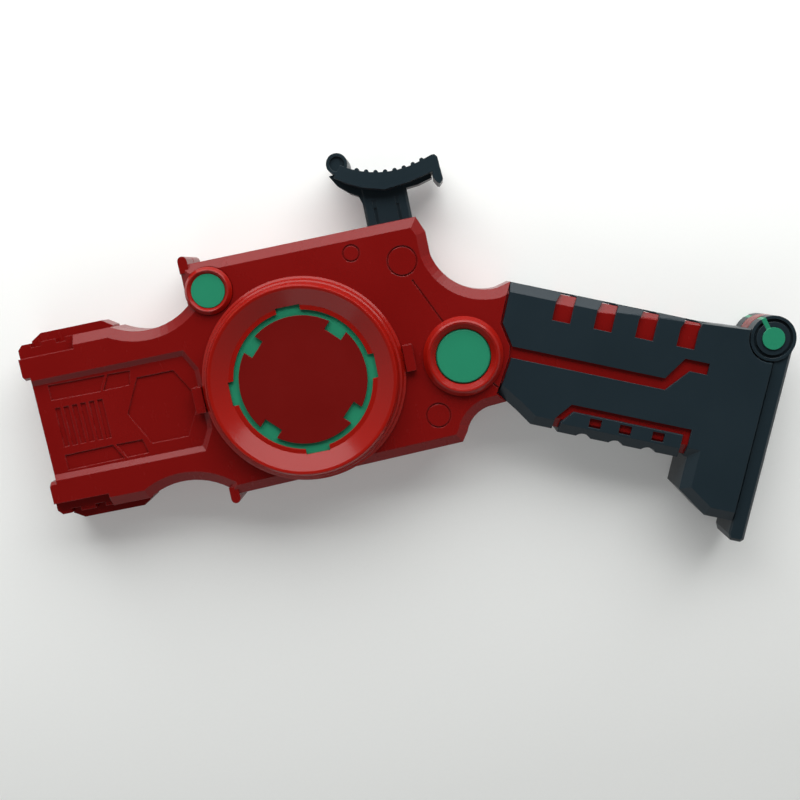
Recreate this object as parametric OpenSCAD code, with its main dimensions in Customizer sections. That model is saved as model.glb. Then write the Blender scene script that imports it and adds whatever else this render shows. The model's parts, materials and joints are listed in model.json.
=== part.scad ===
// Spinning top launcher, lying on its flat rear face.
// Origin: on the turret's axis, in the plane of the rear face. +X points to the butt,
// +Y to the thumb plunger and +Z to the front with the turret.

/* [Body] */
// Thickness of the body from its rear face to its front face
body_t = 22; // [21:0.5:24]
// Distance of the body's top edge from the turret's axis
body_top = 44; // [43.5:0.1:46]
// Distance of the body's lower edge from the axis, at the muzzle side
body_low = 33.6; // [33:0.2:35]
// Rise of the lower edge towards the grip
low_rise = 2.6; // [2:0.2:3.4]
// Distance of the body's muzzle side edge from the axis
body_left = 32.6; // [32:0.2:34]
// Distance of the body's grip side edge from the axis
body_right = 48.2; // [48:0.1:49]
// Width of the bevel round the outline
bevel_w = 3.2; // [2.8:0.1:3.4]
// Height of the bevel
bevel_h = 2.25; // [2:0.05:2.5]
// Thickness of the front and rear faces
face_t = 2; // [1.8:0.1:2.2]
// Thickness of the side walls
wall = 2.2; // [1.8:0.1:2.4]
// Width of the ears' fins
ear_w = 3.1; // [2.8:0.1:3.4]
// How far the ears stand out beyond the body's edges
ear_out = 2.8; // [2.4:0.1:3.2]

/* [Muzzle] */
// Distance of the rail tips from the turret's axis
muzzle_l = 92; // [90:0.5:94]
// Half height over the rails
rail_h = 29.2; // [28.6:0.1:30]
// Half height of the waist behind the rails
waist_h = 25.8; // [25.2:0.1:26.4]
// Radius of the waist's hollows
waist_r = 23.8; // [22.6:0.2:25]
// Distance of the waist from the turret's axis
waist_x = 47.3; // [46.6:0.1:48]
// How far the panel's end is set back from the rail tips
panel_back = 2.5; // [2:0.1:3]
// Half height of the panel between the rails
panel_h = 17; // [16:0.2:17.6]
// Depth of the panel below the rails
panel_d = 1.5; // [1.2:0.1:1.8]
// Width of the slope between rail and panel
panel_slope = 1.8; // [1.4:0.1:2.2]
// Depth of the figures sunk into the panel
sink = 0.5; // [0.3:0.1:0.7]
// Half height of the core plate that stands out beyond the rails
core_h = 32; // [31.2:0.2:32.8]
// Thickness of the core plate
core_t = 8; // [6:0.5:9]
// Length of the core plate
core_l = 28; // [26:0.5:28.5]
// Distance of the core plate's end from the rail tips
core_back = 4; // [3.5:0.1:4.5]

/* [Turret] */
// Radius of the turret's foot
turret_r = 33.4; // [33:0.1:34]
// Height of the turret's crest above the front face
turret_h = 7; // [6.5:0.1:7.5]
// Width of the turret's outer slope, from its foot to its crest
slope_w = 3.2; // [2.8:0.1:3.6]
// Width of the bowl's slope, from the crest to the floor
bowl_w = 6; // [5.6:0.1:6.4]
// Depth of the bowl below the crest
bowl_d = 3.5; // [3.2:0.1:3.8]
// Width of the floor's lip
lip_w = 2.9; // [2.6:0.1:3.2]
// Thickness of the floor's lip
lip_t = 0.7; // [0.6:0.05:0.8]
// Width of the four notches in the lip
tab_w = 7.9; // [7:0.1:8.4]
// Width of the teal ring that shows inside the lip
shown_w = 1.8; // [1.6:0.1:2.2]
// Depth of the cap's notches, measured towards the middle
claw_d = 3.3; // [2.8:0.1:3.8]
// Width of the cap's notches, where the top's claws clip in
claw_w = 6.4; // [6:0.1:7]
// Thickness of the teal drive disc
disc_t = 2.2; // [2:0.1:2.4]
// Width of the two lugs at the turret's foot
lug_w = 8.6; // [8:0.2:9]
// Radius of the side cap's teal disc
side_r = 5.5; // [5.2:0.05:5.7]

/* [Gear train] */
// Module of all the teeth
gear_m = 1; // [0.98:0.01:1.02]
// Teeth of the large step gear
step_teeth = 37; // [36:1:38]
// Teeth of the gear on the rotor's shaft
rotor_teeth = 10; // [10:1:11]
// Teeth of the pinion that the rack drives
pinion_teeth = 12; // [12:1:13]
// Face width of the large gear
step_t = 3; // [2.6:0.1:3.2]
// Radius of the rotor's shaft
shaft_r = 2; // [1.8:0.05:2.2]
// Radius of the step gear's axle
axle_r = 1.5; // [1.4:0.05:1.6]
// Radius of the flywheel
fly_r = 27; // [26.4:0.1:27.2]
// Thickness of the gear plate
plate_t = 1.5; // [1.4:0.1:1.6]

/* [Plunger] */
// Distance of the plunger's middle from the turret's axis
plunger_x = 37.4; // [37.2:0.1:37.6]
// Width of the plunger's shaft
stem_w = 15; // [14.4:0.1:15.2]
// Thickness of the plunger's shaft
stem_t = 8.4; // [8:0.1:8.4]
// Travel of the plunger
plunger_travel = 8.7; // [8:0.1:9]
// Height of the thumb pad's foot above the body at rest
pad_rise = 9; // [9:0.1:10]
// Length of the thumb pad
pad_l = 34; // [33:0.5:35]
// Depth of the thumb pad, front to rear
pad_t = 16; // [14:0.5:17]
// Radius of the pad's hollow
pad_r = 30.7; // [30:0.1:32]
// Radius of the roll at the pad's end
roll_r = 3.45; // [3.2:0.05:3.6]
// Number of ribs on the pad
rib_count = 8; // [6:1:9]
// Radius of each rib
rib_r = 0.75; // [0.6:0.05:0.85]

/* [Release] */
// Distance of the button from the turret's axis along the body
button_x = 52.35; // [52.2:0.05:52.5]
// Distance of the button below the axis
button_y = 3; // [2.9:0.1:3.2]
// Radius of the button
button_r = 8.7; // [8.5:0.05:8.8]
// Travel of the button
button_travel = 1.5; // [1.2:0.1:1.5]
// Radius of the collar's crest
collar_r = 11.2; // [11:0.1:11.4]
// Height of the collar above the front face
collar_h = 3; // [2.6:0.1:3.4]

/* [Grip] */
// Slope of the grip below the body's axis, in degrees
grip_a = 23.3; // [22.8:0.1:23.8]
// Width of the grip
grip_w = 44.1; // [43.6:0.1:44.6]
// Distance of the grip cover's front end from the hinge
grip_l = 86.8; // [86:0.1:87.4]
// Thickness of the grip covers
cover_t = 1.2; // [1:0.05:1.4]
// Distance of the butt block's side from the hinge
block_l = 17.75; // [17:0.1:18.4]
// Depth of the butt block below the hinge
block_w = 61.3; // [60.5:0.1:62]
// Width of the long red groove
groove_w = 3.7; // [3.4:0.1:4]
// Width of the red frame round the finger strip
frame_w = 2; // [1.8:0.1:2.2]
// Number of red notches along the top edge
notch_count = 4; // [3:1:4]

/* [Butt plate] */
// Place of the hinge along the body, from the turret's axis
hinge_x = 151.4; // [151:0.1:152]
// Place of the hinge below the turret's axis
hinge_y = 17.4; // [17.2:0.1:17.8]
// Radius of the hinge barrel
barrel_r = 7.4; // [7.2:0.1:7.6]
// Radius of the teal hinge pin
pin_r = 3.6; // [3.4:0.05:3.8]
// Width of the slot in the barrel
slot_w = 1.6; // [1.4:0.1:1.8]
// Thickness of the butt plate
plate_w = 5.4; // [5:0.1:5.4]
// Reach of the butt plate below the hinge
plate_l = 67.9; // [67:0.1:69]

/* [Screws] */
// Radius of the screw's shank
screw_r = 1.2; // [1.1:0.05:1.3]
// Radius of the screw's head
head_r = 2.5; // [2.3:0.05:2.6]
// Height of the screw's head
head_h = 1.6; // [1.4:0.1:1.8]
// Length of the screw's shank
screw_l = 11; // [10:0.5:11]

/* [Hidden] */
$fn = 64;

// Colours
body_red = "#8f1512";
ring_red = "#b01a10";
cap_red = "#7a0f0c";
slate = "#26343b";
teal = "#2b8e6a";
steel = "#a9adb0";
brass = "#b08d4a";
pale = "#d9d9d4";

// Clearances
over = 1;
past_share = 0.2;
fit_gap = 0.02;
run_gap = 0.05;
seat_gap = 0.1;
move_gap = 0.3;
backlash = 0.16;

// Radii of the turret, from its crest inwards to the bottom of the cap's notches
crest_r = turret_r - slope_w;
floor_r = crest_r - bowl_w;
lip_r = floor_r - lip_w;
cap_r = lip_r - shown_w;
claw_r = cap_r - claw_d;

// Heights of the layers, from the rear face up
parting = body_t / 2;
roof = body_t - face_t;
under_gap = 1.5;
step_z = face_t + under_gap;
rack_gap = 1;
rack_z = step_z + step_t + rack_gap;
rack_t = 4.5;
plate_gap = 0.5;
plate_z = rack_z + rack_t + plate_gap;
plate_top = plate_z + plate_t;
fly_gap = 0.7;
fly_z = plate_top + fly_gap;
crest_z = body_t + turret_h;
floor_z = crest_z - bowl_d;
cap_t = 1;
disc_top = floor_z - cap_t;
disc_z = disc_top - disc_t;
disc_hub_h = 1.8;
fly_top = disc_z - disc_hub_h;

// Plane geometry
function unit(a, b) = (b - a) / norm(b - a);
function xy(p) = [p[0], p[1]];
function graded(ps, d) = [for (p = ps) [p[0], p[1], d]];
function regraded(ps, qs) = [for (i = [0:len(ps) - 1]) [ps[i][0], ps[i][1], qs[i][2]]];

function arc(c, r, a, b, n, d) = [for (i = [0:n])
    let (t = a + (b - a) * i / n)
    [c[0] + r * cos(t), c[1] + r * sin(t), d]];

// Outline with each edge moved inwards by the third number of the point it starts from
function moved(ps) = [for (i = [0:len(ps) - 1])
    let (
        n = len(ps),
        a = ps[(i + n - 1) % n],
        b = ps[i],
        c = ps[(i + 1) % n],
        u = unit(xy(a), xy(b)),
        v = unit(xy(b), xy(c)),
        p = [-u[1], u[0]],
        q = [-v[1], v[0]],
        k = p * q,
        d = a[2],
        e = b[2]
    )
    d == e ? xy(b) + d * (p + q) / (1 + k)
        : xy(b) + ((d - e * k) * p + (e - d * k) * q) / (1 - k * k)];

// Ring that cuts the bevel: a triangle run round the outline, reaching a little past its faces
module bevel_cut(ps, z1, h) {
    n = len(ps);
    wide = moved([for (p = ps) [p[0], p[1], -past_share * p[2]]]);
    narrow = moved([for (p = ps) [p[0], p[1], p[2] + past_share * p[2]]]);
    high = z1 + past_share * h;
    points = concat([for (p = wide) [p[0], p[1], z1 - h - past_share * h]],
        [for (p = narrow) [p[0], p[1], high]], [for (p = wide) [p[0], p[1], high]]);
    polyhedron(points, [for (k = [0:2], i = [0:n - 1])
        [k * n + i, k * n + (i + 1) % n, (k + 1) % 3 * n + (i + 1) % n, (k + 1) % 3 * n + i]]);
}

// Solid from z0 to z1 whose upper rim is cut back by each edge's third number
module bevelled(ps, z0, z1, h) {
    difference() {
        prism(ps, z0, z1);
        bevel_cut(ps, z1, h);
    }
}

// Recess whose walls slope in to its floor by each edge's third number
module sunk(ps, top, depth) {
    mirror([0, 0, 1])
        bevelled(ps, -top - over, depth - top, depth);
}

module prism(ps, z0, z1) {
    translate([0, 0, z0])
        linear_extrude(z1 - z0)
            polygon([for (p = ps) xy(p)]);
}

module rod(p, r, z0, z1) {
    translate([p[0], p[1], z0])
        cylinder(r = r, h = z1 - z0);
}

module tube(p, r, bore, z0, z1) {
    difference() {
        rod(p, r, z0, z1);
        rod(p, bore, z0 - over, z1 + over);
    }
}

// Straight bar of width w between two points
module bar(a, b, w, z0, z1) {
    d = b - a;
    translate([a[0], a[1], z0])
        rotate(atan2(d[1], d[0]))
            translate([0, -w / 2, 0])
                cube([norm(d), w, z1 - z0]);
}

// Open coil on the Z axis, from zero up to the length
module coil(turns, r, wire_r, length) {
    sides = 6;
    steps = 16;
    n = turns * steps;
    rise = (length - 2 * wire_r) / n;
    points = [for (i = [0:n], j = [0:sides - 1])
        let (t = 360 * i / steps, b = -360 * j / sides, q = r + wire_r * cos(b))
        [q * cos(t), q * sin(t), wire_r + rise * i + wire_r * sin(b)]];
    skin = [for (i = [0:n - 1], j = [0:sides - 1])
        [i * sides + j, i * sides + (j + 1) % sides,
         (i + 1) * sides + (j + 1) % sides, (i + 1) * sides + j]];
    ends = [[for (j = [0:sides - 1]) sides - 1 - j], [for (j = [0:sides - 1]) n * sides + j]];
    polyhedron(points, concat(ends, skin));
}

module flipped() {
    translate([0, 0, body_t])
        mirror([0, 0, 1])
            children();
}

module both_sides() {
    children();
    mirror([0, 1, 0])
        children();
}

// Grip coordinates: u runs along the grip to the butt and w across it, from the hinge's axis
function grip_pt(u, w) = [
    hinge_x + u * cos(grip_a) + w * sin(grip_a),
    -hinge_y - u * sin(grip_a) + w * cos(grip_a)];
function grip_edge(u, w, d) = concat(grip_pt(u, w), [d]);
function grip_share(s) = [s[0] * grip_l, s[1] * grip_w];

module at_grip() {
    translate([hinge_x, -hinge_y, 0])
        rotate(-grip_a)
            children();
}

// Outlines of the body and of the grip, anticlockwise. Each edge carries a number for moved():
// outer edges e, edges where body and grip cover meet f, edges round the hinge g.
tip_cut = 1.6;
tip_bevel = 0.8;
small_bevel = 0.4;
waist_c = waist_h + waist_r;
rail_end = waist_x + sqrt(pow(waist_r, 2) - pow(waist_c - rail_h, 2));
waist_a = acos((waist_x - rail_end) / waist_r);
waist_b = acos((waist_x - body_left) / waist_r);
top_corner_w = 2.2;
top_corner_h = 5.3;
low_corner_w = 1.4;
low_corner_h = 3.2;
palm_r = 18.85;
palm_drop = 8.8;
palm_in = 0.35;
finger_r = 10.8;
finger_drop = 0.75;
grip_top = 0.6;
grip_low = grip_top - grip_w;
grip_end = 1.7;
end_rise = 1;
pocket_r = barrel_r + move_gap + seat_gap;
heel_l = 7.7;
heel_w = 6.8;
chin_shares = [[-0.916, -0.857], [-0.873, -0.905]];
chin_corner_share = 0.811;
front_edge_shares = [[-0.957, -0.81], [-0.941, -0.528], [-0.947, -0.447], [-1, -0.297]];
chin = [for (s = chin_shares) grip_share(s)];
front_edge = [for (s = front_edge_shares) grip_share(s)];

function body_lower(e) = concat(
    arc([-waist_x, -waist_c], waist_r, waist_a, waist_b, 12, e),
    [[-body_left, -body_low, e],
     [body_right - low_corner_w, -body_low + low_rise, e],
     [body_right + tip_bevel, -body_low + low_rise + low_corner_h, e]],
    arc([body_right + finger_r, -body_low + low_rise - finger_drop], finger_r, 150, 100, 5, e));
function body_upper(e) = concat(
    arc([body_right + palm_r - palm_in, body_top - palm_drop], palm_r, 272, 192, 14, e),
    [[body_right, body_top - top_corner_h, e],
     [body_right - top_corner_w, body_top, e],
     [-body_left, body_top, e]],
    arc([-waist_x, waist_c], waist_r, 360 - waist_b, 360 - waist_a, 12, e));
function body_outline(e, f, tip) = concat(
    body_lower(e),
    [grip_edge(chin[0][0], chin[0][1], f)],
    [for (p = front_edge) grip_edge(p[0], p[1], f)],
    [grip_edge(-grip_l, grip_top, e)],
    body_upper(e),
    tip);
function rail_tips(e, t) = [
    [-muzzle_l, rail_h, t],
    [-muzzle_l, panel_h + tip_cut, t],
    [-muzzle_l + tip_cut / 2, panel_h + small_bevel, t],
    [-muzzle_l + panel_back, panel_h + small_bevel, t],
    [-muzzle_l + panel_back, -panel_h - small_bevel, t],
    [-muzzle_l + tip_cut / 2, -panel_h - small_bevel, t],
    [-muzzle_l, -panel_h - tip_cut, t],
    [-muzzle_l, -rail_h, e]];
function cover_outline(e, f, g) = concat(
    [grip_edge(chin[1][0], chin[1][1], e),
     grip_edge(-chin_corner_share * grip_l, grip_low, e),
     grip_edge(-block_l, grip_low, e),
     grip_edge(-block_l, -block_w + heel_w, e),
     grip_edge(-heel_l, -block_w, e),
     grip_edge(grip_end, -block_w, g)],
    [for (i = [0:8])
        let (
            a = 360 - acos(grip_end / pocket_r),
            b = 180 - asin((grip_top + end_rise) / pocket_r),
            t = a + (b - a) * i / 8
        )
        grip_edge(pocket_r * cos(t), pocket_r * sin(t), g)],
    [grip_edge(-block_l - bevel_w, grip_top, e),
     grip_edge(-grip_l, grip_top, f)],
    [for (i = [0:3]) grip_edge(front_edge[3 - i][0], front_edge[3 - i][1], i < 3 ? f : e)]);

// The red core under the grip covers. It laps into the body plate.
cover_side = 0.7;
lap = 0.5;
core_top = body_t - cover_t;
core_roof = core_top - face_t;
function core_outline(d) = regraded(
    moved(cover_outline(cover_side - d, -lap, cover_side - d)),
    cover_outline(bevel_w, small_bevel, small_bevel));
throat_l = 10;
throat_shares = [-0.77, -0.18];

// Fasteners
boss_r = 4;
boss_in = 5.8;
head_sink = 5;
grip_screw_shares = [[-0.69, -0.3], [-0.46, -0.63], [-0.104, -0.62], [-0.098, -1.12]];
side_screw_share = 0.43;
body_screws = [
    [-body_left + boss_in, -body_low + boss_in],
    [-body_left * side_screw_share, body_top - boss_in],
    [plunger_x - stem_w / 2 - 3 * boss_r, body_top - boss_in],
    [body_right - boss_in, -body_low + low_rise + boss_in]];
muzzle_screws = [for (s = [-1, 1]) [-waist_x - boss_in, s * (waist_h - boss_in)]];
grip_screws = [for (s = grip_screw_shares) let (p = grip_share(s)) grip_pt(p[0], p[1])];
screw_spots = concat(body_screws, muzzle_screws, grip_screws);

// Gears and the rack
step_x = gear_m * (step_teeth + rotor_teeth) / 2;
pinion_r = gear_m * pinion_teeth / 2;
rack_x = step_x + pinion_r;
addendum = 0.85 * gear_m;
dedendum = 1.15 * gear_m;
mesh_a = 25;
bar_w = 6.35;
bar_x = rack_x + dedendum;

// Bearings and posts
centre = [0, 0];
step_spot = [step_x, 0];
floor_skin = 0.8;
bush_top = step_z - move_gap;
rear_bush_r = 3.5;
plate_bush_r = 3.2;
bush_wall = 1.5;
hub_r = 6;
post_r = 2.4;
peg_r = 1.2;
post_left_x = 20;
post_left_y = 18;
post_right_y = 23.5;
posts = [for (s = [-1, 1], p = [[-post_left_x, post_left_y], [step_x, post_right_y]]) [p[0], s * p[1]]];
fly_hole_r = fly_r + 5 * move_gap;

// Button, brake and side cap
button = [button_x, -button_y];
skirt_r = button_r + 3 * move_gap;
skirt_z = roof - 7 * seat_gap;
lever_t = 2.8;
lever_z = fly_z;
lever_top = lever_z + lever_t;
brake_pin_r = 1.2;
brake_x = 41.5;
brake_y = 15;
brake = [brake_x, -brake_y];
shoe_r = 1.6;
shoe_gap = 1.4;
shoe_a = -10;
shoe_l = fly_r + shoe_gap + shoe_r;
shoe = [shoe_l * cos(shoe_a), shoe_l * sin(shoe_a)];
nose_r = 1.2;
wedge_r = 4;
nose = button + [-wedge_r - 1.25 * nose_r, -nose_r + seat_gap];
side_x = 24.4;
side_y = 34.2;
side_spot = [-side_x, side_y];
side_foot_w = 2.3;
side_crest_w = 1.1;
side_foot_r = side_r + side_foot_w;
side_crest_r = side_r + side_crest_w;
side_h = 2;
side_peg_r = 2.5;
side_shelf = roof - 2 * seat_gap;

// Middle knuckle of the butt hinge
knuckle_h = 3.7;
web_share = 0.67;
barrel_z = 1.5;

// Web between the knuckle and the core, grown by a gap
module knuckle_web(gap) {
    translate([-pocket_r - wall, -web_share * barrel_r - gap, parting - gap])
        cube([pocket_r + wall, web_share * barrel_r + 2 * gap, knuckle_h + 2 * gap]);
}

module ears() {
    root = 4;
    r = ear_w / 2;
    for (e = [[body_top, 1], [body_low, -1]]) {
        tip = e[0] + ear_out - r;
        side = e[1];
        prism(concat(arc([-body_left + r, side * tip], r, 0, side * 180, 8, 0),
            [[-body_left, side * (tip - root)], [-body_left + ear_w, side * (tip - root)]]),
            parting + move_gap, body_t - over);
    }
}

muzzle_roof = body_t - panel_d - sink - face_t;
muzzle_inset = 8;

module body_cavity() {
    difference() {
        prism(moved(graded(body_outline(0, 0, []), wall)), parting - over, roof);
        translate([-muzzle_l, -body_low, muzzle_roof])
            cube([muzzle_l - body_left + wall, body_low + body_top, body_t]);
    }
    prism(core_plate(seat_gap), parting - over, parting + core_t / 2 + seat_gap);
    translate([-muzzle_l + muzzle_inset, -panel_h + panel_slope + wall, parting])
        cube([core_l - 2 * core_back, 2 * (panel_h - panel_slope - wall), muzzle_roof - parting]);
}

module throat() {
    at_grip()
        translate([-grip_l - throat_l / 2, throat_shares[0] * grip_w, parting - over])
            cube([throat_l, (throat_shares[1] - throat_shares[0]) * grip_w, core_roof - parting + over]);
}

// One half of the red casing, from the parting plane to its outer face. The children are cut
// from the body plate.
module half_shell() {
    difference() {
        union() {
            bevelled(body_outline(bevel_w, small_bevel, rail_tips(bevel_w, tip_bevel)),
                parting, body_t, bevel_h);
            ears();
        }
        body_cavity();
        throat();
        children();
    }
    difference() {
        union() {
            bevelled(core_outline(0), parting, core_top, bevel_h);
            at_grip() {
                rod(centre, barrel_r, parting, parting + knuckle_h);
                knuckle_web(0);
            }
        }
        prism(moved(cover_outline(cover_side + wall, lap, cover_side + wall)),
            parting - over, core_roof);
        throat();
    }
}

// Outline of the core plate, grown by a gap
core_cut_front = 3.6;
core_cut_rear = 3.4;
core_cut_h = 2.2;

function core_plate(gap) = moved([
    [-muzzle_l + core_back, -core_h + core_cut_h, -gap],
    [-muzzle_l + core_back + core_cut_front, -core_h, -gap],
    [-muzzle_l + core_back + core_l - core_cut_rear, -core_h, -gap],
    [-muzzle_l + core_back + core_l, -core_h + core_cut_h, -gap],
    [-muzzle_l + core_back + core_l, core_h - core_cut_h, -gap],
    [-muzzle_l + core_back + core_l - core_cut_rear, core_h, -gap],
    [-muzzle_l + core_back + core_cut_front, core_h, -gap],
    [-muzzle_l + core_back, core_h - core_cut_h, -gap]]);

// Opening where the plunger's shaft leaves the body
module plunger_gate() {
    w = stem_w + 2 * move_gap;
    t = stem_t + 2 * move_gap;
    depth = top_corner_h + 2 * wall;
    translate([plunger_x - w / 2, body_top - depth, parting - t / 2])
        cube([w, depth + over, t]);
}

// Recessed panel between the rails, with its sunk figures
panel_end_shares = [[-0.402, 1], [-0.362, 0.6]];
window_shares = [
    [[-0.915, 0.853], [-0.915, 0.553], [-0.734, 0.535], [-0.704, 0.835]],
    [[-0.722, 0.541], [-0.623, 0.547], [-0.611, 0.824], [-0.693, 0.835]]];
hexagon_shares = [[-0.592, 0.659], [-0.457, 0.659], [-0.388, 0], [-0.457, -0.659],
    [-0.592, -0.659], [-0.655, 0]];
slot_count = 6;
slot_pitch = 2.9;
slot_bar = 1.8;
slot_x = 83.7;
slot_h = 6.6;

function panel_pts(shares) = [for (s = shares) [s[0] * muzzle_l, s[1] * panel_h]];

module panel_cut() {
    ends = panel_pts(panel_end_shares);
    low = body_t - panel_d - sink;
    far = -muzzle_l - panel_slope - over;
    sunk(graded([[far, -ends[0][1]], [ends[0][0], -ends[0][1]], [ends[1][0], -ends[1][1]],
        ends[1], ends[0], [far, ends[0][1]]], panel_slope), body_t, panel_d);
    both_sides()
        for (w = window_shares)
            prism(panel_pts(w), low, body_t);
    prism(panel_pts(hexagon_shares), low, body_t);
    for (i = [0:slot_count - 1])
        translate([-slot_x + i * slot_pitch, -slot_h, low])
            cube([slot_bar, 2 * slot_h, body_t - low]);
}

// Step along the rails' outer edges near their tips, with two small notches
rail_step_y = 24.7;
rail_step_l = 19.7;
rail_step_z = 3.8;
rail_notch_x = [87.4, 78.8];
rail_notch_l = 3.4;
rail_notch_d = 1.4;

module rail_cut() {
    both_sides() {
        translate([-muzzle_l - over, rail_step_y, body_t - rail_step_z])
            cube([rail_step_l + over, rail_h - rail_step_y + over, rail_step_z + over]);
        for (x = rail_notch_x)
            translate([-x, rail_h - rail_notch_d, parting + core_t / 2 - over])
                cube([rail_notch_l, rail_notch_d + over, body_t]);
        prism([[-muzzle_l - over, rail_h - tip_cut - over], [-muzzle_l + tip_cut + over, rail_h + over],
            [-muzzle_l - over, rail_h + over]], parting - over, body_t + over);
    }
}

// Fine lines engraved in the front face
engraved_d = 0.4;
line_w = 0.5;
ring_shares = [[0.701, 1.099, 0.078], [1.168, 0.928, 0.141], [1.219, -0.614, 0.117]];
line_shares = [[[1.228, 0.731], [1.44, 0.272]], [[1.796, -0.401], [1.88, -0.506]]];

module engraved_cut() {
    for (s = ring_shares)
        tube(s * turret_r, s[2] * turret_r + line_w / 2, s[2] * turret_r - line_w / 2,
            body_t - engraved_d, body_t + over);
    for (s = line_shares)
        bar(s[0] * turret_r, s[1] * turret_r, line_w, body_t - engraved_d, body_t + over);
}

module front_shell() {
    lug_h = 2.2;
    lug_l = 3.2;
    color(body_red)
        difference() {
            union() {
                half_shell() {
                    panel_cut();
                    rail_cut();
                    engraved_cut();
                }
                for (p = body_screws)
                    rod(p, boss_r, parting, roof + face_t / 2);
                for (p = muzzle_screws)
                    rod(p, boss_r, parting, muzzle_roof + face_t / 2);
                for (p = grip_screws)
                    rod(p, boss_r, parting, core_roof + face_t / 2);
                rod(brake, post_r, lever_top + move_gap, roof + face_t / 2);
                rod(side_spot, side_foot_r - 5 * seat_gap, side_shelf - face_t, side_shelf);
                for (s = [-1, 1])
                    translate([s > 0 ? turret_r + seat_gap : -turret_r - seat_gap - lug_l,
                            -lug_w / 2, roof + seat_gap])
                        cube([lug_l, lug_w, face_t + lug_h]);
            }
            for (p = screw_spots)
                rod(p, screw_r, parting - over, head_sink + screw_l + 5 * seat_gap);
            rod(centre, fly_hole_r, roof - over, body_t + over);
            rod(button, skirt_r + move_gap, roof - over, body_t + over);
            rod(brake, brake_pin_r + fit_gap, lever_top, roof + over);
            rod(side_spot, side_foot_r + seat_gap, side_shelf, body_t + over);
            rod(side_spot, side_peg_r + fit_gap, roof - 2 * face_t - over, body_t);
            at_grip()
                rod(centre, pin_r + run_gap, 0, body_t);
            plunger_gate();
        }
}

module rear_shell() {
    spring_seat_w = bar_w - 3 * seat_gap;
    color(body_red)
        difference() {
            union() {
                flipped()
                    half_shell();
                for (p = concat(body_screws, muzzle_screws))
                    rod(p, boss_r, face_t / 2, parting);
                for (p = grip_screws)
                    rod(p, boss_r, cover_t + face_t / 2, parting);
                rod(centre, rear_bush_r + bush_wall, face_t / 2, bush_top);
                rod(step_spot, axle_r + bush_wall, face_t / 2, bush_top);
                for (p = posts) {
                    rod(p, post_r, face_t / 2, plate_z);
                    rod(p, peg_r, face_t / 2, plate_top);
                }
                rod(brake, post_r, face_t / 2, lever_z - move_gap);
                rod(button, button_spring_r + button_wire_r + bush_wall, face_t / 2, button_seat);
                rod(button, peg_r, face_t / 2, button_foot - button_peg - button_travel - seat_gap);
                translate([bar_x + bar_w / 2 - spring_seat_w / 2, -spring_foot - wall, face_t / 2])
                    cube([spring_seat_w, wall, parting - face_t / 2]);
            }
            for (p = screw_spots) {
                rod(p, screw_r + seat_gap, head_sink - over, parting + over);
                rod(p, head_r + 2 * seat_gap, -over, head_sink);
            }
            rod(centre, rear_bush_r + fit_gap, floor_skin, parting);
            rod(step_spot, axle_r + fit_gap, floor_skin, parting);
            rod(brake, brake_pin_r + fit_gap, parting - 3 * brake_pin_r, body_t);
            at_grip()
                rod(centre, pin_r + run_gap, 0, body_t);
            plunger_gate();
        }
}

module muzzle_core() {
    window = 7;
    color(body_red)
        difference() {
            prism(core_plate(0), parting - core_t / 2, parting + core_t / 2);
            translate([-muzzle_l + core_back + window, -panel_h / 2, parting - core_t])
                cube([core_l - 2 * window, panel_h, 2 * core_t]);
        }
}

// Turret
ring_steps_shares = [[0, 0], [0, 0.17], [0.22, 0.22], [0.4, 0.47], [0.56, 0.51], [0.76, 0.88]];
crest_half = 0.7;
ring_in = floor_r + 3.5 * move_gap;

module turret_ring() {
    flank = [for (s = ring_steps_shares)
        [turret_r - s[0] * slope_w, body_t + s[1] * turret_h]];
    color(ring_red)
        difference() {
            rotate_extrude($fn = 96)
                polygon(concat(flank, [
                    [crest_r + crest_half / 2, crest_z - seat_gap],
                    [crest_r, crest_z],
                    [crest_r - crest_half, crest_z - 2 * seat_gap],
                    [floor_r, floor_z],
                    [lip_r, floor_z],
                    [lip_r, floor_z - lip_t],
                    [ring_in, floor_z - lip_t],
                    [ring_in, body_t],
                    [fly_hole_r - 3 * move_gap, body_t],
                    [fly_hole_r - 3 * move_gap, roof + 2 * move_gap],
                    [fly_hole_r - seat_gap, roof + 2 * move_gap],
                    [fly_hole_r - seat_gap, body_t]]));
            for (a = [0, 90, 180, 270])
                rotate(a)
                    translate([lip_r - over, -tab_w / 2, floor_z - lip_t - over])
                        cube([lip_w + over, tab_w, lip_t + 2 * over]);
        }
}

module drive_disc() {
    color(teal)
        difference() {
            union() {
                rod(centre, floor_r + move_gap, disc_z, disc_top);
                rod(centre, hub_r, fly_top, disc_z);
            }
            rod(centre, shaft_r + fit_gap, fly_top - over, disc_top - floor_skin / 2);
        }
}

module drive_cap() {
    color(cap_red)
        difference() {
            rod(centre, cap_r, disc_top, floor_z);
            for (a = [45, 135, 225, 315])
                rotate(a)
                    translate([claw_r, -claw_w / 2, disc_top - over])
                        cube([cap_r, claw_w, cap_t + 2 * over]);
        }
}

// Rotor and gear train
module rotor_shaft() {
    color(steel)
        rod(centre, shaft_r, floor_skin + seat_gap, disc_top - floor_skin / 2 - seat_gap);
}

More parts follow.
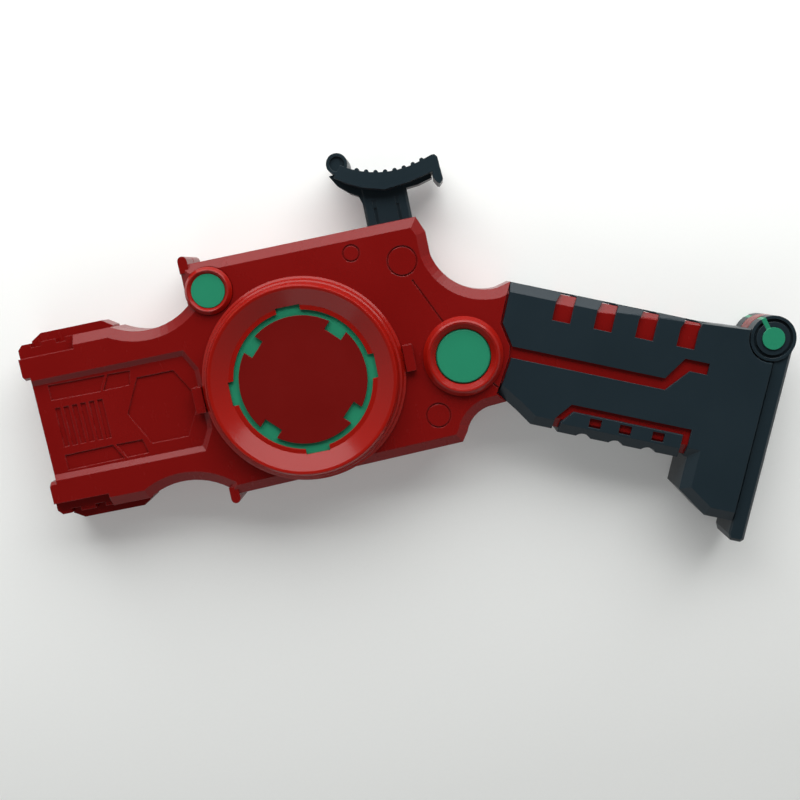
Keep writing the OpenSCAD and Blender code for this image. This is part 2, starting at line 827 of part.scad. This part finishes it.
// Involute gear on its own axis, with a tooth on +X
module gear(teeth, z0, z1) {
    pitch_r = gear_m * teeth / 2;
    base_r = pitch_r * cos(mesh_a);
    root_r = pitch_r - dedendum;
    tip_r = pitch_r + addendum;
    from_r = max(base_r, root_r);
    steps = 4;
    half = (PI * gear_m - 2 * backlash) / 4 / pitch_r * 180 / PI;
    flank = [for (i = [0:steps])
        let (
            r = from_r + (tip_r - from_r) * i / steps,
            b = acos(min(1, base_r / r)),
            a = half + (tan(mesh_a) - tan(b)) * 180 / PI - mesh_a + b
        )
        [r, a]];
    tooth = concat(
        [[root_r, -flank[0][1]]],
        [for (p = flank) [p[0], -p[1]]],
        [for (i = [0:steps]) flank[steps - i]],
        [[root_r, flank[0][1]]]);
    prism([for (k = [0:teeth - 1], p = tooth)
        let (t = p[1] + 360 * k / teeth)
        [p[0] * cos(t), p[0] * sin(t)]], z0, z1);
}

module rotor_gear() {
    color(brass)
        difference() {
            rotate(180 / rotor_teeth)
                gear(rotor_teeth, step_z, step_z + step_t);
            rod(centre, shaft_r + fit_gap, 0, roof);
        }
}

module flywheel() {
    rim_w = 6;
    web_in = 1.6;
    hole_r = 2.6;
    hole_count = 6;
    mid_r = (hub_r + fly_r - rim_w) / 2;
    color(steel)
        difference() {
            rod(centre, fly_r, fly_z, fly_top);
            for (z = [fly_z - over, fly_top - web_in])
                tube(centre, fly_r - rim_w, hub_r, z, z + web_in + over);
            for (i = [0:hole_count - 1])
                rotate(360 * i / hole_count)
                    rod([mid_r, 0], hole_r, fly_z - over, fly_top + over);
            rod(centre, shaft_r + fit_gap, fly_z - over, fly_top + over);
        }
}

module rear_bush() {
    color(brass)
        tube(centre, rear_bush_r, shaft_r + run_gap, floor_skin, bush_top);
}

module plate_bush() {
    color(brass)
        tube(centre, plate_bush_r, shaft_r + run_gap, plate_z - seat_gap, plate_top + move_gap);
}

// Plate over the gear train. Its lip on the plunger's side guides the rack.
plate_left = 23.5;
plate_left_h = 21.5;
plate_right_h = 27;
plate_nose_h = 12.5;
plate_nose_x = 28.5;
lip_w = 1.5;

module gear_plate() {
    lip_x = bar_x + bar_w + move_gap;
    half = [[-plate_left, plate_left_h], [step_x + post_r + over, plate_right_h],
        [plate_nose_x, plate_nose_h], [lip_x + lip_w, plate_nose_h]];
    color(pale)
        difference() {
            union() {
                prism(concat([for (p = half) [p[0], -p[1]]], [for (i = [0:3]) half[3 - i]]),
                    plate_z, plate_top);
                translate([lip_x, -plate_nose_h, rack_z])
                    cube([lip_w, 2 * plate_nose_h, plate_z - rack_z]);
            }
            rod(centre, plate_bush_r + fit_gap, plate_z - over, plate_top + over);
            rod(step_spot, axle_r + fit_gap, plate_z - over, plate_top + over);
            for (p = posts)
                rod(p, peg_r + run_gap, plate_z - over, plate_top + over);
        }
}

module step_gear() {
    color(pale)
        difference() {
            translate([step_x, 0, 0]) {
                rotate(step_teeth % 2 * 180 / step_teeth)
                    gear(step_teeth, step_z, step_z + step_t);
                gear(pinion_teeth, step_z, rack_z + rack_t);
            }
            rod(step_spot, axle_r + run_gap, 0, roof);
        }
}

module step_axle() {
    color(steel)
        rod(step_spot, axle_r, floor_skin, plate_top);
}

// Plunger
foot = [plunger_x, body_top + pad_rise];
stem_y = 22;
stop_w = 2.2;
stop_l = 5.5;
chamfer = 0.8;
stem_groove_w = 1;
stem_groove_d = 0.6;
teeth_below = 2;
rack_teeth = teeth_below + ceil(plunger_travel / (PI * gear_m)) + 2;
rack_foot = (teeth_below + 0.25) * PI * gear_m;
spring_foot = 28;
spring_wire_r = 0.35;
spring_coil_r = 1.75;
spring_turns = 8;
spring_peg_l = 3;
button_spring_r = 2.6;
button_wire_r = 0.35;
button_spring_turns = 5;
button_seat = 4;
pad_low_shares = [[-0.435, 0.247], [-0.332, 0.176], [-0.194, 0.106], [0.018, 0.044],
    [0.247, 0.065], [0.409, 0.097], [0.494, 0.118]];
hook_shares = [[0.491, 0.059], [0.521, 0.003], [0.544, -0.006], [0.579, 0.029],
    [0.565, 0.244], [0.541, 0.271], [0.512, 0.271]];
web_shares = [[-0.485, 0.282], [-0.426, 0.179], [-0.324, 0.088], [-0.244, 0.041], [-0.2, -0.1],
    [0.2, -0.1], [0.215, 0.026], [0.335, 0.035], [0.479, 0.071], [0.47, 0.16], [-0.2, 0.16],
    [-0.4, 0.29]];
roll_shares = [-0.379, 0.368];
hollow_shares = [0.147, 0.2];
web_t = 8;
hook_a = 19;
roll_a = 33.4;
rib_low_a = -23;
rib_high_a = 17.2;

function pad_pts(shares) = [for (s = shares) foot + pad_l * s];

// Rack in the XY plane with its teeth on -X and a gap between teeth at y = 0
function rack_pts() = concat(
    [for (i = [0:rack_teeth - 1], s = [[-1, 1], [-1, -1], [1, -1], [1, 1]])
        let (
            mid = (i - teeth_below + 0.5) * PI * gear_m,
            half = (PI * gear_m / 2 - backlash) / 2,
            reach = s[1] > 0 ? dedendum : -addendum
        )
        [rack_x + reach, mid + s[0] * (half + reach * tan(mesh_a))]],
    [[bar_x, stem_y + over], [bar_x + bar_w, stem_y + over], [bar_x + bar_w, -rack_foot],
     [bar_x, -rack_foot]]);

module plunger_stem() {
    w = stem_w / 2;
    t = stem_t / 2;
    difference() {
        translate([plunger_x, stem_y, parting])
            rotate([-90, 0, 0])
                linear_extrude(foot[1] - stem_y + pad_l * hollow_shares[1] / 2)
                    polygon([[-w + chamfer, -t], [w - chamfer, -t], [w, -t + chamfer],
                        [w, t - chamfer], [w - chamfer, t], [-w + chamfer, t],
                        [-w, t - chamfer], [-w, -t + chamfer]]);
        for (x = [-w / 2, w / 2], z = [-t, t])
            translate([plunger_x + x - stem_groove_w / 2, stem_y - over, parting + z - stem_groove_d])
                cube([stem_groove_w, foot[1] - stem_y, 2 * stem_groove_d]);
    }
}

module thumb_pad() {
    z0 = parting - pad_t / 2;
    z1 = parting + pad_t / 2;
    middle = foot + pad_l * hollow_shares + [0, pad_r];
    roll = foot + pad_l * roll_shares;
    prism(concat(pad_pts(pad_low_shares), pad_pts(hook_shares),
        arc(middle, pad_r, 270 + hook_a, 270 - roll_a, 12, 0)), z0, z1);
    difference() {
        rod(roll, roll_r, z0, z1);
        for (z = [z0 - over, z1 - chamfer])
            rod(roll, roll_r - over, z, z + chamfer + over);
    }
    for (i = [0:rib_count - 1]) {
        a = 270 + rib_low_a + (rib_high_a - rib_low_a) * i / (rib_count - 1);
        rod([middle[0] + pad_r * cos(a), middle[1] + pad_r * sin(a)], rib_r, z0, z1, $fn = 24);
    }
    prism(pad_pts(web_shares), parting - web_t / 2, parting + web_t / 2);
}

module plunger() {
    spring_mid = bar_x + bar_w / 2;
    color(slate) {
        plunger_stem();
        thumb_pad();
        prism(rack_pts(), rack_z, rack_z + rack_t);
        translate([plunger_x - stem_w / 2 - stop_w, body_top - wall - seat_gap - stop_l, rack_z])
            cube([2 * stop_w, stop_l, stem_t / 2 + parting - rack_z - chamfer]);
        translate([spring_mid, -rack_foot, rack_z + rack_t / 2])
            rotate([90, 0, 0])
                cylinder(r = spring_coil_r - spring_wire_r - move_gap, h = spring_peg_l);
    }
}

module return_spring() {
    color(steel)
        translate([bar_x + bar_w / 2, -spring_foot, rack_z + rack_t / 2])
            rotate([-90, 0, 0])
                coil(spring_turns, spring_coil_r, spring_wire_r, spring_foot - rack_foot);
}

// Release button and brake
button_dish = 1.5;
wedge_z = lever_top;
button_drop = 1.3;
button_foot = lever_z - button_drop;
button_flange_r = 3.2;
button_flange_t = 0.8;
button_stem_r = 1.6;
button_peg = 1;

module button_collar() {
    rise_shares = [0.25, 0.85, 0.93, 0.4];
    foot_r = collar_r + 6 * move_gap;
    mouth_r = button_r + move_gap;
    color(ring_red)
        translate([button_x, -button_y, body_t])
            rotate_extrude()
                polygon([[mouth_r, 0], [foot_r, 0], [foot_r, rise_shares[0] * collar_h],
                    [collar_r + 2 * move_gap, rise_shares[1] * collar_h], [collar_r, collar_h],
                    [collar_r - 2 * move_gap, rise_shares[2] * collar_h],
                    [mouth_r, rise_shares[3] * collar_h]]);
}

module release_button() {
    color(teal)
        translate([button_x, -button_y, 0])
            rotate_extrude()
                polygon([[0, button_foot - button_peg], [peg_r, button_foot - button_peg],
                    [peg_r, button_foot], [button_flange_r, button_foot],
                    [button_flange_r, button_foot + button_flange_t],
                    [button_stem_r, button_foot + button_flange_t],
                    [button_stem_r, wedge_z - wedge_r + button_stem_r],
                    [wedge_r + skirt_z - wedge_z, skirt_z],
                    [skirt_r, skirt_z], [skirt_r, body_t - seat_gap],
                    [button_r, body_t - seat_gap], [button_r, body_t + button_dish - move_gap],
                    [button_r - move_gap, body_t + button_dish], [0, body_t + button_dish]]);
}

module button_spring() {
    color(steel)
        translate([button_x, -button_y, button_seat])
            coil(button_spring_turns, button_spring_r, button_wire_r, button_foot - button_seat);
}

module brake_lever() {
    bar_share = 1.8;
    color(pale)
        difference() {
            union() {
                rod(brake, post_r + move_gap, lever_z, lever_top);
                bar(brake, shoe, bar_share * shoe_r, lever_z + seat_gap, lever_top - seat_gap);
                rod(shoe, shoe_r, lever_z, lever_top);
                bar(brake, nose, bar_share * nose_r, lever_z + 2 * seat_gap, lever_top - 2 * seat_gap);
                rod(nose, nose_r, lever_z, lever_top);
            }
            rod(brake, brake_pin_r + run_gap, lever_z - over, lever_top + over);
        }
}

module brake_pin() {
    color(steel)
        rod(brake, brake_pin_r, parting - 3 * brake_pin_r, roof + over - seat_gap);
}

module side_collar() {
    floor_h = side_h / 4;
    rim_share = 0.9;
    color(ring_red)
        translate([-side_x, side_y, body_t])
            rotate_extrude()
                polygon([[side_peg_r + fit_gap, side_shelf - body_t], [side_foot_r, side_shelf - body_t],
                    [side_foot_r, floor_h], [side_crest_r + move_gap, rim_share * side_h],
                    [side_crest_r, side_h], [side_crest_r - move_gap, rim_share * side_h],
                    [side_r + run_gap, floor_h * 2], [side_r + run_gap, floor_h],
                    [side_peg_r + fit_gap, floor_h]]);
}

module side_cap() {
    floor_h = side_h / 4;
    color(teal) {
        rod(side_spot, side_r, body_t + floor_h, body_t + 2.5 * floor_h);
        rod(side_spot, side_peg_r, side_shelf - face_t, body_t + floor_h);
    }
}

// Grip covers and finger strips
groove_share = -0.487;
groove_end_shares = [-0.21, -0.316];
groove_bend_shares = [[-0.361, -0.304], [-0.35, -0.276]];
strip_shares = [[-0.705, -1.045], [-0.241, -1.045], [-0.24, -0.821], [-0.666, -0.821],
    [-0.705, -0.918]];
scallop_shares = [-0.605, -0.479, -0.353];
square_shares = [-0.575, -0.46, -0.334];
square_share = -0.88;
square_l = 4;
square_w = 3;
scallop_r = 3;
scallop_d = 1.2;
strip_out = 0.7;
notch_l = 6;
notch_w = 8.7;
notch_pitch = 13.65;
notch_x = 68.15;
notch_slant_shares = [0.65, -0.2];

module cover_cuts() {
    z = core_top - over;
    high = body_t + over;
    bend = groove_share * grip_w;
    end = groove_end_shares[1] * grip_w;
    h = groove_w / 2;
    shoulder = grip_top - bevel_w - seat_gap;
    at_grip() {
        for (i = [0:notch_count - 1])
            translate([-notch_x + i * notch_pitch, 0, 0])
                prism([[-notch_l / 2, -notch_w], [notch_l / 2, -notch_w],
                    [notch_l / 2, shoulder], [notch_slant_shares[0] * notch_l, over + grip_top],
                    [notch_slant_shares[1] * notch_l, over + grip_top], [-notch_l / 2, shoulder]],
                    parting + 2 * over, high);
        prism([[-grip_l - over, bend - h], [groove_bend_shares[1][0] * grip_l, bend - h],
            [groove_bend_shares[1][1] * grip_l, end - h], [groove_end_shares[0] * grip_l, end - h],
            [groove_end_shares[0] * grip_l, end + h], [groove_bend_shares[0][1] * grip_l, end + h],
            [groove_bend_shares[0][0] * grip_l, bend + h], [-grip_l - over, bend + h]], z, high);
        prism(moved(graded([for (s = strip_shares) grip_share(s)], -frame_w)), parting - over, high);
        knuckle_web(seat_gap);
    }
}

module core_pocket() {
    bevelled(core_outline(seat_gap), parting - over, core_top + seat_gap, bevel_h);
}

module cover_half() {
    difference() {
        bevelled(regraded(moved(cover_outline(0, seat_gap, 0)),
            cover_outline(bevel_w, small_bevel, small_bevel)), parting, body_t, bevel_h);
        core_pocket();
        cover_cuts();
        children();
    }
}

module strip_half() {
    low = grip_low - strip_out;
    difference() {
        bevelled(concat(
            [grip_edge(strip_shares[0][0] * grip_l, low, bevel_w)],
            [grip_edge(strip_shares[1][0] * grip_l, low, small_bevel)],
            [for (s = [for (i = [2:4]) strip_shares[i]])
                grip_edge(s[0] * grip_l, s[1] * grip_w, small_bevel)]),
            parting, body_t, bevel_h);
        core_pocket();
        at_grip() {
            for (s = scallop_shares)
                rod([s * grip_l, low + scallop_d - scallop_r], scallop_r, parting - over, body_t + over);
            for (s = square_shares)
                translate([s * grip_l - square_l / 2, square_share * grip_w - square_w / 2, core_top - over])
                    cube([square_l, square_w, body_t]);
        }
    }
}

module grip_cover_front() {
    color(slate)
        cover_half();
}

module grip_cover_rear() {
    color(slate)
        flipped()
            cover_half()
                for (p = grip_screws)
                    rod(p, head_r + 2 * seat_gap, body_t - head_sink, body_t + over);
}

module grip_strip_front() {
    color(slate)
        strip_half();
}

module grip_strip_rear() {
    color(slate)
        flipped()
            strip_half();
}

// Butt plate with its two end knuckles, and the keyed pin
slot_a = 129.8;
plate_side = 2.2;
plate_bevel = 1;
end_groove_d = 1.2;
end_groove_w = 1;

module end_knuckles(r, gap) {
    rod(centre, r, barrel_z, parting - knuckle_h - gap);
    rod(centre, r, parting + knuckle_h + gap, body_t - barrel_z);
}

module butt_plate() {
    inner = grip_end + move_gap;
    outer = inner + plate_w;
    outline = [[inner + plate_bevel, -plate_l, plate_bevel], [outer - plate_bevel, -plate_l, plate_bevel],
        [outer, -plate_l + plate_bevel, plate_bevel], [outer, 0, small_bevel],
        [inner, 0, small_bevel], [inner, -plate_l + 2 * plate_bevel, small_bevel]];
    color(slate)
        at_grip()
            difference() {
                union() {
                    end_knuckles(barrel_r, move_gap);
                    bevelled(outline, parting, body_t - plate_side, plate_bevel);
                    flipped()
                        bevelled(outline, parting, body_t - plate_side, plate_bevel);
                }
                rod(centre, barrel_r + move_gap, parting - knuckle_h - move_gap,
                    parting + knuckle_h + move_gap);
                rod(centre, pin_r + fit_gap, 0, body_t);
                for (z = [barrel_z - over, body_t - barrel_z - end_groove_d])
                    tube(centre, barrel_r - end_groove_w, barrel_r - 2 * end_groove_w,
                        z, z + end_groove_d + over);
                rotate(slot_a)
                    translate([0, -slot_w / 2, 0])
                        cube([barrel_r + over, slot_w, body_t]);
            }
}

module hinge_pin() {
    rib = slot_w - 2 * run_gap;
    color(teal)
        at_grip() {
            rod(centre, pin_r, over, body_t - over);
            intersection() {
                end_knuckles(barrel_r - seat_gap, move_gap);
                rotate(slot_a)
                    translate([0, -rib / 2, 0])
                        cube([barrel_r + over, rib, body_t]);
            }
        }
}

module screws() {
    cross_w = 0.7;
    cross_d = 0.9;
    cross_share = 0.7;
    head_z = head_sink - head_h;
    color(steel)
        for (p = screw_spots)
            difference() {
                union() {
                    rod(p, head_r, head_z, head_sink);
                    rod(p, screw_r, head_sink, head_sink + screw_l);
                }
                for (d = [[1, 0], [0, 1]])
                    bar(p - d * cross_share * head_r, p + d * cross_share * head_r, cross_w,
                        head_z - over, head_z + cross_d);
            }
}

front_shell();
rear_shell();
muzzle_core();
turret_ring();
drive_disc();
drive_cap();
rotor_shaft();
rotor_gear();
flywheel();
rear_bush();
plate_bush();
gear_plate();
step_gear();
step_axle();
plunger();
return_spring();
button_collar();
release_button();
button_spring();
brake_lever();
brake_pin();
side_collar();
side_cap();
grip_cover_front();
grip_cover_rear();
grip_strip_front();
grip_strip_rear();
butt_plate();
hinge_pin();
screws();
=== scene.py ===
"""Looks for the spinning top launcher: materials, light, floor and camera."""

import json

import bpy
from mathutils import Matrix, Vector

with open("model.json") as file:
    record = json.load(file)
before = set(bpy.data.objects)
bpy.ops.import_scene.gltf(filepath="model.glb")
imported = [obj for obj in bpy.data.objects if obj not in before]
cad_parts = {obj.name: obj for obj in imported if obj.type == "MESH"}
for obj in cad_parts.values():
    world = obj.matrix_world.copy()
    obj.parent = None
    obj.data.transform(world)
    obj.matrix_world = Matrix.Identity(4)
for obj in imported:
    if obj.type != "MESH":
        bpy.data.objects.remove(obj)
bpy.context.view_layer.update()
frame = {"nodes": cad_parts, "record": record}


# Node helpers. A graph is a node tree's nodes and links.

def as_input(graph, value, socket):
    """Link a socket, or set a plain value."""
    if isinstance(value, bpy.types.NodeSocket):
        graph.links.new(value, socket)
    else:
        socket.default_value = value


def mix_colour(graph, factor, low, high):
    mix = graph.nodes.new("ShaderNodeMix")
    mix.data_type = "RGBA"
    as_input(graph, factor, mix.inputs["Factor"])
    for name, colour in (("A", low), ("B", high)):
        is_socket = isinstance(colour, bpy.types.NodeSocket)
        as_input(graph, colour if is_socket else (*colour, 1), mix.inputs[name])
    return mix.outputs["Result"]


def maths(graph, operation, first, second):
    node = graph.nodes.new("ShaderNodeMath")
    node.operation = operation
    as_input(graph, first, node.inputs[0])
    as_input(graph, second, node.inputs[1])
    return node.outputs[0]


def vector_maths(graph, operation, *values):
    node = graph.nodes.new("ShaderNodeVectorMath")
    node.operation = operation
    for value, socket in zip(values, node.inputs):
        as_input(graph, value, socket)
    return node.outputs["Value"]


def noise(graph, place, scale, detail=3.0, stretch=None):
    if stretch:
        mapping = graph.nodes.new("ShaderNodeMapping")
        mapping.inputs["Scale"].default_value = stretch
        graph.links.new(place, mapping.inputs["Vector"])
        place = mapping.outputs["Vector"]
    tex = graph.nodes.new("ShaderNodeTexNoise")
    tex.inputs["Scale"].default_value = scale
    tex.inputs["Detail"].default_value = detail
    graph.links.new(place, tex.inputs["Vector"])
    return tex.outputs["Fac"]


def spread(graph, value, from_range, to_range):
    """Map one range to another, held at its ends."""
    node = graph.nodes.new("ShaderNodeMapRange")
    numbers = (*from_range, *to_range)
    for name, number in zip(("From Min", "From Max", "To Min", "To Max"), numbers):
        node.inputs[name].default_value = number
    graph.links.new(value, node.inputs["Value"])
    return node.outputs["Result"]


def separate(graph, vector, axis):
    node = graph.nodes.new("ShaderNodeSeparateXYZ")
    graph.links.new(vector, node.inputs[0])
    return node.outputs[axis]


# Materials

CLOUD_SCALE = 38.0
RUB_SCALE = 420.0
RUB_STRETCH = (1.0, 0.45, 1.0)
BRUSH_SCALE = 1500.0
PLASTIC_SPECULAR = 0.2
METAL_SPECULAR = 0.5
BUMP_DISTANCE = 0.00004
BUMP_STRENGTH = 0.18


def moulded(name, colour, rough, grain, edge=0.00025, coat=0.0, wear_and_highlight=0.35, tone=0.12,
            metallic=0.0, brushed=None):
    """Moulded or turned surface: uneven tone, edges that catch the light, paler edges that are
    partly wear and partly painted highlight, grain and rubs.
    """
    mat = bpy.data.materials.new(name)
    mat.use_nodes = True
    graph = mat.node_tree
    shader = graph.nodes["Principled BSDF"]
    place = graph.nodes.new("ShaderNodeTexCoord").outputs["Object"]

    # Rounded edges, and how far each point lies on one
    round_edge = graph.nodes.new("ShaderNodeBevel")
    round_edge.samples = 6
    round_edge.inputs["Radius"].default_value = edge
    flat = graph.nodes.new("ShaderNodeNewGeometry").outputs["Normal"]
    turn = vector_maths(graph, "DOT_PRODUCT", round_edge.outputs["Normal"], flat)
    rim = spread(graph, turn, (0.995, 0.86), (0.0, 1.0))

    # Colour: clouds of tone, and paler patches along the edges, partly wear and partly painted
    # highlight on the edges
    cloud = noise(graph, place, CLOUD_SCALE, 4.0)
    rubs = noise(graph, place, RUB_SCALE, 5.0, RUB_STRETCH)
    edge_wear_and_highlight = maths(graph, "MULTIPLY", rim, spread(graph, rubs, (0.42, 0.62), (0.0, wear_and_highlight)))
    low = [c * (1 - tone) for c in colour]
    high = [min(1.0, c * (1 + tone)) for c in colour]
    pale = [c * 1.3 + 0.07 for c in colour]
    tint = mix_colour(graph, edge_wear_and_highlight, mix_colour(graph, cloud, low, high), pale)
    as_input(graph, tint, shader.inputs["Base Color"])

    # Gloss, uneven with the clouds and the rubs
    sheen = spread(graph, cloud, (0.3, 0.7), (rough - 0.04, rough + 0.04))
    scuffs = spread(graph, rubs, (0.55, 0.8), (0.0, 0.05))
    as_input(graph, maths(graph, "ADD", sheen, scuffs), shader.inputs["Roughness"])

    # Moulded grain or brushed lines
    bump = graph.nodes.new("ShaderNodeBump")
    bump.inputs["Distance"].default_value = BUMP_DISTANCE
    bump.inputs["Strength"].default_value = BUMP_STRENGTH
    graph.links.new(round_edge.outputs["Normal"], bump.inputs["Normal"])
    if brushed:
        relief = noise(graph, place, BRUSH_SCALE, 3.0, brushed)
    else:
        relief = noise(graph, place, grain, 2.0)
    graph.links.new(relief, bump.inputs["Height"])
    graph.links.new(bump.outputs["Normal"], shader.inputs["Normal"])

    shader.inputs["Metallic"].default_value = metallic
    shader.inputs["IOR"].default_value = 1.48
    shader.inputs["Specular IOR Level"].default_value = (
        METAL_SPECULAR if metallic else PLASTIC_SPECULAR)
    shader.inputs["Coat Weight"].default_value = coat
    shader.inputs["Coat Roughness"].default_value = 0.06
    return mat


LOOKS = {
    "red_plastic": moulded("red_plastic", (0.185, 0.0042, 0.0034), 0.25, 2600.0, edge=0.0003),
    "ring_plastic": moulded("ring_plastic", (0.28, 0.0065, 0.0032), 0.19, 1400.0, coat=0.05,
                            wear_and_highlight=0.2, tone=0.06),
    # the cap's red is darker than the body's red: painted shade for the cap down in the ring's
    # bowl
    "cap_plastic": moulded("cap_plastic", (0.15, 0.004, 0.003), 0.34, 2400.0),
    # the slate's edges are paled more: partly wear, partly painted highlight on its bevels
    "slate_plastic": moulded("slate_plastic", (0.0125, 0.0225, 0.029), 0.34, 3200.0, wear_and_highlight=0.5),
    "teal_plastic": moulded("teal_plastic", (0.020, 0.235, 0.125), 0.3, 2200.0, tone=0.08),
    "pale_plastic": moulded("pale_plastic", (0.66, 0.66, 0.63), 0.4, 2400.0, tone=0.03),
    "steel": moulded("steel", (0.50, 0.51, 0.53), 0.26, 2000.0, metallic=1.0, tone=0.05,
                     brushed=(1.0, 1.0, 0.05)),
    "spring_steel": moulded("spring_steel", (0.42, 0.43, 0.45), 0.3, 2000.0, metallic=1.0,
                            edge=0.0001, tone=0.05, brushed=(0.1, 1.0, 1.0)),
    "brass": moulded("brass", (0.62, 0.42, 0.16), 0.28, 2000.0, metallic=1.0, tone=0.06,
                     brushed=(1.0, 1.0, 0.06)),
}

for part in frame["record"]["subparts"]:
    for slot in frame["nodes"][part["node"]].material_slots:
        slot.material = LOOKS[part["material_slot"]]


# Floor

FLOOR_SIZE = 6
FLOOR_DROP = 0.0002
FLOOR_DARK = (0.80, 0.815, 0.795)
FLOOR_PALE = (0.82, 0.835, 0.815)


def shown_rays(graph):
    """One for camera, glossy and transmission rays: what sees the white background."""
    path = graph.nodes.new("ShaderNodeLightPath")
    total = path.outputs["Is Camera Ray"]
    for name in ("Is Glossy Ray", "Is Transmission Ray"):
        total = maths(graph, "MAXIMUM", total, path.outputs[name])
    return total


def floor_material():
    """Pale table that still takes the shadow, whitened by painted light towards +Y and by a
    white backdrop glow far away.
    """
    mat = bpy.data.materials.new("table_top")
    mat.use_nodes = True
    graph = mat.node_tree
    graph.nodes.clear()
    place = graph.nodes.new("ShaderNodeTexCoord").outputs["Object"]

    diffuse = graph.nodes.new("ShaderNodeBsdfDiffuse")
    table = mix_colour(graph, noise(graph, place, 900.0), FLOOR_DARK, FLOOR_PALE)
    as_input(graph, table, diffuse.inputs["Color"])

    # Painted light: the table glows brighter towards +Y, the side the key lamp shines from,
    # and this glow is not shadowed; far away it glows white as a backdrop
    painted_light_towards_y = spread(graph, separate(graph, place, "Y"), (-0.16, 0.12), (0.03, 0.24))
    away = spread(graph, vector_maths(graph, "LENGTH", place), (0.3, 1.2), (0.0, 0.75))
    painted_light_and_backdrop = maths(graph, "ADD", painted_light_towards_y, away)
    glow = graph.nodes.new("ShaderNodeEmission")
    as_input(graph, maths(graph, "MULTIPLY", painted_light_and_backdrop, shown_rays(graph)), glow.inputs["Strength"])

    both = graph.nodes.new("ShaderNodeAddShader")
    graph.links.new(diffuse.outputs[0], both.inputs[0])
    graph.links.new(glow.outputs[0], both.inputs[1])
    out = graph.nodes.new("ShaderNodeOutputMaterial")
    graph.links.new(both.outputs[0], out.inputs["Surface"])
    return mat


bpy.ops.mesh.primitive_plane_add(size=FLOOR_SIZE, location=(0, 0, -FLOOR_DROP))
floor = bpy.context.object
floor.name = "table_top"
floor.data.materials.append(floor_material())


# World: a dim room that is darker overhead, and white where it is seen

def light_world(world):
    world.use_nodes = True
    graph = world.node_tree
    graph.nodes.clear()
    view = graph.nodes.new("ShaderNodeTexCoord").outputs["Generated"]
    height = separate(graph, view, "Z")
    room = graph.nodes.new("ShaderNodeBackground")
    as_input(graph, spread(graph, height, (0.25, 0.95), (0.5, 0.12)), room.inputs["Strength"])
    white = graph.nodes.new("ShaderNodeBackground")
    as_input(graph, spread(graph, height, (0.35, 0.85), (1.0, 0.1)), white.inputs["Strength"])
    choose = graph.nodes.new("ShaderNodeMixShader")
    as_input(graph, shown_rays(graph), choose.inputs["Fac"])
    graph.links.new(room.outputs[0], choose.inputs[1])
    graph.links.new(white.outputs[0], choose.inputs[2])
    out = graph.nodes.new("ShaderNodeOutputWorld")
    graph.links.new(choose.outputs[0], out.inputs["Surface"])


scene = bpy.context.scene
scene.world = scene.world or bpy.data.worlds.new("world")
light_world(scene.world)


# Lamps: a wide window beyond the thumb plunger, and a weak one opposite

def lamp(name, spot, aim, size, power):
    data = bpy.data.lights.new(name, "AREA")
    data.shape = "RECTANGLE"
    data.size, data.size_y = size
    data.energy = power
    obj = bpy.data.objects.new(name, data)
    scene.collection.objects.link(obj)
    obj.location = spot
    obj.rotation_euler = (Vector(aim) - Vector(spot)).to_track_quat("-Z", "Y").to_euler()


lamp("key", (0.17, 0.62, 0.42), (0.04, 0.0, 0.01), (1.3, 0.6), 11.5)
lamp("fill", (-0.30, -0.50, 0.45), (0.03, 0.0, 0.01), (0.5, 0.4), 0.5)


# Camera, nearly straight above, as in the photograph

camera_data = bpy.data.cameras.new("camera")
camera_data.sensor_width = 36
camera_data.lens = 47.475
camera_data.clip_start = 0.01
camera = bpy.data.objects.new("camera", camera_data)
scene.collection.objects.link(camera)
camera.matrix_world = Matrix((
    (0.979172, 0.195757, 0.053874, 0.047894),
    (-0.200874, 0.972631, 0.116785, 0.027246),
    (-0.029538, -0.125174, 0.991695, 0.364016),
    (0, 0, 0, 1)))
scene.camera = camera
scene.view_settings.view_transform = "Standard"
